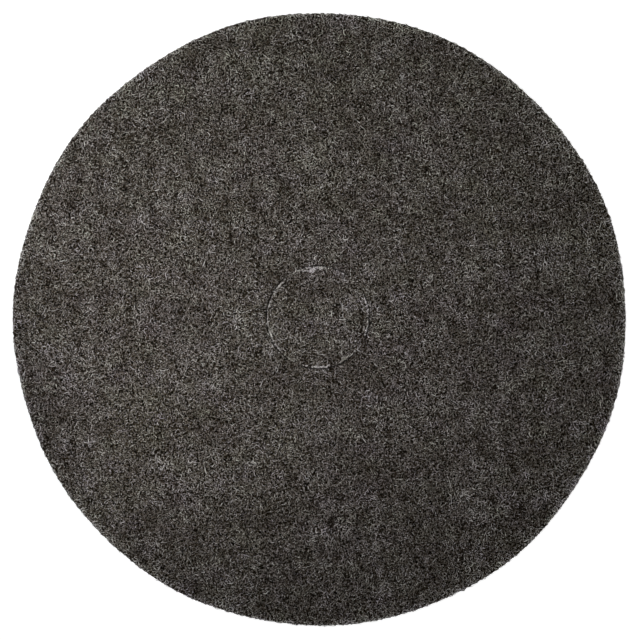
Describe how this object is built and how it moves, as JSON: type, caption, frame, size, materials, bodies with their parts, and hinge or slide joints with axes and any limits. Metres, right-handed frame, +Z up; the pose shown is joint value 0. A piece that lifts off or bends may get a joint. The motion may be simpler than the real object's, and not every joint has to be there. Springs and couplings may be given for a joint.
{
  "type": "floor stripping pad",
  "caption": "Round disc of open dark fibre web with a perforated centre knock-out, driven by a rotary floor machine to scour old finish off a floor.",
  "frame": {"origin": "middle of the face that lies on the floor", "axes": "+Z up, square to the disc, out of the face that the picture shows; X and Y in the disc's plane, with +Y to the picture's top"},
  "size_m": [0.508, 0.508, 0.0263],
  "materials": {
    "fibre_web": "matte"
  },
  "bodies": {
    "root": {"stripping_pad": "fibre_web"}
  },
  "joints": []
}
